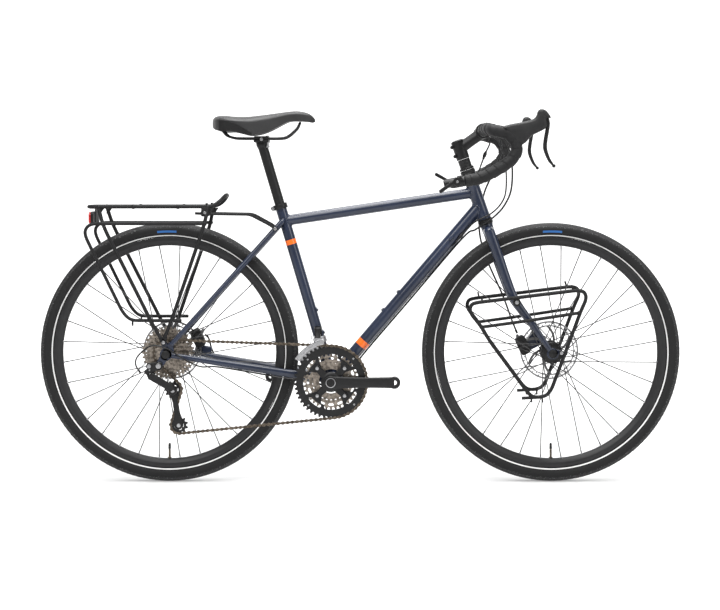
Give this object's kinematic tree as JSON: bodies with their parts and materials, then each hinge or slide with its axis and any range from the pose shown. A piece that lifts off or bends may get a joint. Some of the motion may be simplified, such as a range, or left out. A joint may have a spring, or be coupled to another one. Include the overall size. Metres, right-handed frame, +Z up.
{
  "type": "touring road bicycle",
  "caption": "Touring road bicycle with drop bars, disc brakes, derailleur gears, a rear rack and low-rider front racks.",
  "frame": {"origin": "centre of the bottom bracket, on the bicycle's middle plane", "axes": "+X forward along the wheelbase, +Y to the rider's left, +Z up; the wheels stand on a level floor at about z = -0.276"},
  "size_m": [1.7327, 0.482, 1.001],
  "materials": {
    "navy_paint": "gloss",
    "black_metal": "satin anodised",
    "silver_metal": "brushed",
    "chain_metal": "satin",
    "black_rubber": "matt",
    "black_plastic": "matt",
    "tape": "matt",
    "saddle_cover": "satin",
    "red_lens": "gloss",
    "cable_black": "gloss"
  },
  "bodies": {
    "frame": {"frame": "navy_paint", "seat_clamp": "black_metal", "headset_upper_cup": "black_metal", "headset_lower_cup": "black_metal", "bottom_bracket": "black_metal", "rear_axle": "black_metal", "rear_caliper": "black_metal", "chain": "chain_metal", "rear_brake_housing": "cable_black", "rear_shift_cable": "cable_black", "front_shift_cable": "cable_black", "rear_rack": "black_metal", "rack_reflector": "red_lens", "front_derailleur_clamp": "silver_metal", "rear_derailleur_body": "black_metal"},
    "fork": {"fork": "navy_paint", "headset_spacers": "black_metal", "stem": "black_metal", "handlebar": "black_metal", "bar_tape_left": "tape", "bar_tape_right": "tape", "brake_hood_left": "black_rubber", "brake_hood_right": "black_rubber", "shifter_pod_left": "black_plastic", "shifter_pod_right": "black_plastic", "front_axle": "black_metal", "front_caliper": "black_metal", "front_brake_housing": "cable_black", "lowrider_left": "black_metal", "lowrider_right": "black_metal"},
    "front_wheel": {"front_tyre": "black_rubber", "front_rim": "black_metal", "front_hub": "black_metal", "front_rotor": "silver_metal"},
    "rear_wheel": {"rear_tyre": "black_rubber", "rear_rim": "black_metal", "rear_hub": "black_metal", "rear_rotor": "silver_metal"},
    "crankset": {"crank_right": "black_metal", "crank_left": "black_metal", "chainring_outer": "black_metal", "chainring_middle": "chain_metal", "chainring_inner": "chain_metal"},
    "cassette": {"cassette": "chain_metal"},
    "rear_derailleur_link": {"rear_derailleur_link": "black_metal"},
    "rear_derailleur_knuckle": {"rear_derailleur_knuckle": "black_metal"},
    "rear_derailleur_cage": {"rear_derailleur_cage": "black_metal"},
    "guide_pulley": {"guide_pulley": "black_plastic"},
    "tension_pulley": {"tension_pulley": "black_plastic"},
    "front_derailleur_link": {"front_derailleur_link": "silver_metal"},
    "front_derailleur_cage": {"front_derailleur_cage": "silver_metal"},
    "brake_lever_left": {"brake_lever_left": "black_metal"},
    "brake_lever_right": {"brake_lever_right": "black_metal"},
    "shift_lever_left": {"shift_lever_left": "black_metal"},
    "shift_lever_right": {"shift_lever_right": "black_metal"},
    "rear_brake_arm": {"rear_brake_arm": "silver_metal"},
    "front_brake_arm": {"front_brake_arm": "silver_metal"},
    "seatpost": {"seatpost": "black_metal"},
    "saddle": {"saddle": "saddle_cover", "saddle_rails": "black_metal"}
  },
  "joints": [
    {"name": "steering", "type": "hinge", "parent": "frame", "child": "fork", "pos_m": [0.415, 0, 0.436], "axis": [-0.3305, 0, 0.9438], "range_deg": [-45, 45], "deforming": ["rear_brake_housing", "rear_shift_cable", "front_shift_cable"]},
    {"name": "front_wheel_spin", "type": "hinge", "parent": "fork", "child": "front_wheel", "pos_m": [0.59534, 0, 0.075], "axis": [0, 1, 0], "continuous": true},
    {"name": "rear_wheel_spin", "type": "hinge", "parent": "frame", "child": "rear_wheel", "pos_m": [-0.44066, 0, 0.075], "axis": [0, 1, 0], "continuous": true},
    {"name": "crank_spin", "type": "hinge", "parent": "frame", "child": "crankset", "pos_m": [0, 0, 0], "axis": [0, 1, 0], "continuous": true, "deforming": ["chain"]},
    {"name": "cassette_spin", "type": "hinge", "parent": "frame", "child": "cassette", "pos_m": [-0.44066, 0, 0.075], "axis": [0, 1, 0], "continuous": true},
    {"name": "rear_derailleur_swing", "type": "hinge", "parent": "frame", "child": "rear_derailleur_link", "pos_m": [-0.478, -0.073, 0.018], "axis": [0.5039, 0, 0.8638], "range_deg": [-16.2, 18]},
    {"name": "rear_derailleur_parallel", "type": "hinge", "parent": "rear_derailleur_link", "child": "rear_derailleur_knuckle", "pos_m": [-0.43, -0.073, -0.01], "axis": [0.5039, 0, 0.8638], "range_deg": [-18, 16.2]},
    {"name": "cage_swing", "type": "hinge", "parent": "rear_derailleur_knuckle", "child": "rear_derailleur_cage", "pos_m": [-0.424, -0.0447, -0.022], "axis": [0, 1, 0], "range_deg": [-20, 35], "stiffness_Nm_per_rad": 1},
    {"name": "guide_pulley_spin", "type": "hinge", "parent": "rear_derailleur_cage", "child": "guide_pulley", "pos_m": [-0.424, -0.0447, -0.022], "axis": [0, 1, 0], "continuous": true},
    {"name": "tension_pulley_spin", "type": "hinge", "parent": "rear_derailleur_cage", "child": "tension_pulley", "pos_m": [-0.4092, -0.0447, -0.1177], "axis": [0, 1, 0], "continuous": true},
    {"name": "front_derailleur_swing", "type": "hinge", "parent": "frame", "child": "front_derailleur_link", "pos_m": [-0.036, -0.034, 0.14], "axis": [1, 0, 0], "range_deg": [0, 32]},
    {"name": "front_derailleur_parallel", "type": "hinge", "parent": "front_derailleur_link", "child": "front_derailleur_cage", "pos_m": [-0.036, -0.04131, 0.11609], "axis": [1, 0, 0], "range_deg": [-32, 0]},
    {"name": "brake_lever_left_pull", "type": "hinge", "parent": "fork", "child": "brake_lever_left", "pos_m": [0.562, 0.22, 0.706], "axis": [0, 1, 0], "range_deg": [0, 22], "stiffness_Nm_per_rad": 2, "springref_deg": -11.46},
    {"name": "brake_lever_right_pull", "type": "hinge", "parent": "fork", "child": "brake_lever_right", "pos_m": [0.562, -0.22, 0.706], "axis": [0, 1, 0], "range_deg": [0, 22], "stiffness_Nm_per_rad": 2, "springref_deg": -11.46},
    {"name": "front_brake_arm_pull", "type": "hinge", "parent": "fork", "child": "front_brake_arm", "pos_m": [0.515, 0.0395, 0.092], "axis": [0, 1, 0], "range_deg": [-14.1, 0]},
    {"name": "rear_brake_arm_pull", "type": "hinge", "parent": "frame", "child": "rear_brake_arm", "pos_m": [-0.369, 0.0525, 0.11], "axis": [0, 1, 0], "range_deg": [0, 14.1]},
    {"name": "shift_lever_left_turn", "type": "hinge", "parent": "fork", "child": "shift_lever_left", "pos_m": [0.331, 0.238, 0.5365], "axis": [0, 1, 0], "range_deg": [0, 65]},
    {"name": "shift_lever_right_turn", "type": "hinge", "parent": "fork", "child": "shift_lever_right", "pos_m": [0.331, -0.238, 0.5365], "axis": [0, 1, 0], "range_deg": [-50, 45]},
    {"name": "seatpost_height", "type": "slide", "parent": "frame", "child": "seatpost", "axis": [-0.284, 0, 0.9588], "range_m": [-0.07, 0.04]},
    {"name": "saddle_setback", "type": "slide", "parent": "seatpost", "child": "saddle", "axis": [1, 0, 0], "range_m": [-0.02, 0.02]}
  ],
  "couplings": [
    {"joint": "cassette_spin", "follows": "crank_spin", "ratio": 2.6667},
    {"joint": "guide_pulley_spin", "follows": "crank_spin", "ratio": -4.3636},
    {"joint": "tension_pulley_spin", "follows": "crank_spin", "ratio": 4.3636},
    {"joint": "rear_derailleur_swing", "follows": "shift_lever_right_turn", "ratio": -0.36},
    {"joint": "rear_derailleur_parallel", "follows": "shift_lever_right_turn", "ratio": 0.36},
    {"joint": "front_derailleur_swing", "follows": "shift_lever_left_turn", "ratio": 0.49},
    {"joint": "front_derailleur_parallel", "follows": "shift_lever_left_turn", "ratio": -0.49},
    {"joint": "front_brake_arm_pull", "follows": "brake_lever_left_pull", "ratio": -0.64},
    {"joint": "rear_brake_arm_pull", "follows": "brake_lever_right_pull", "ratio": 0.64}
  ]
}
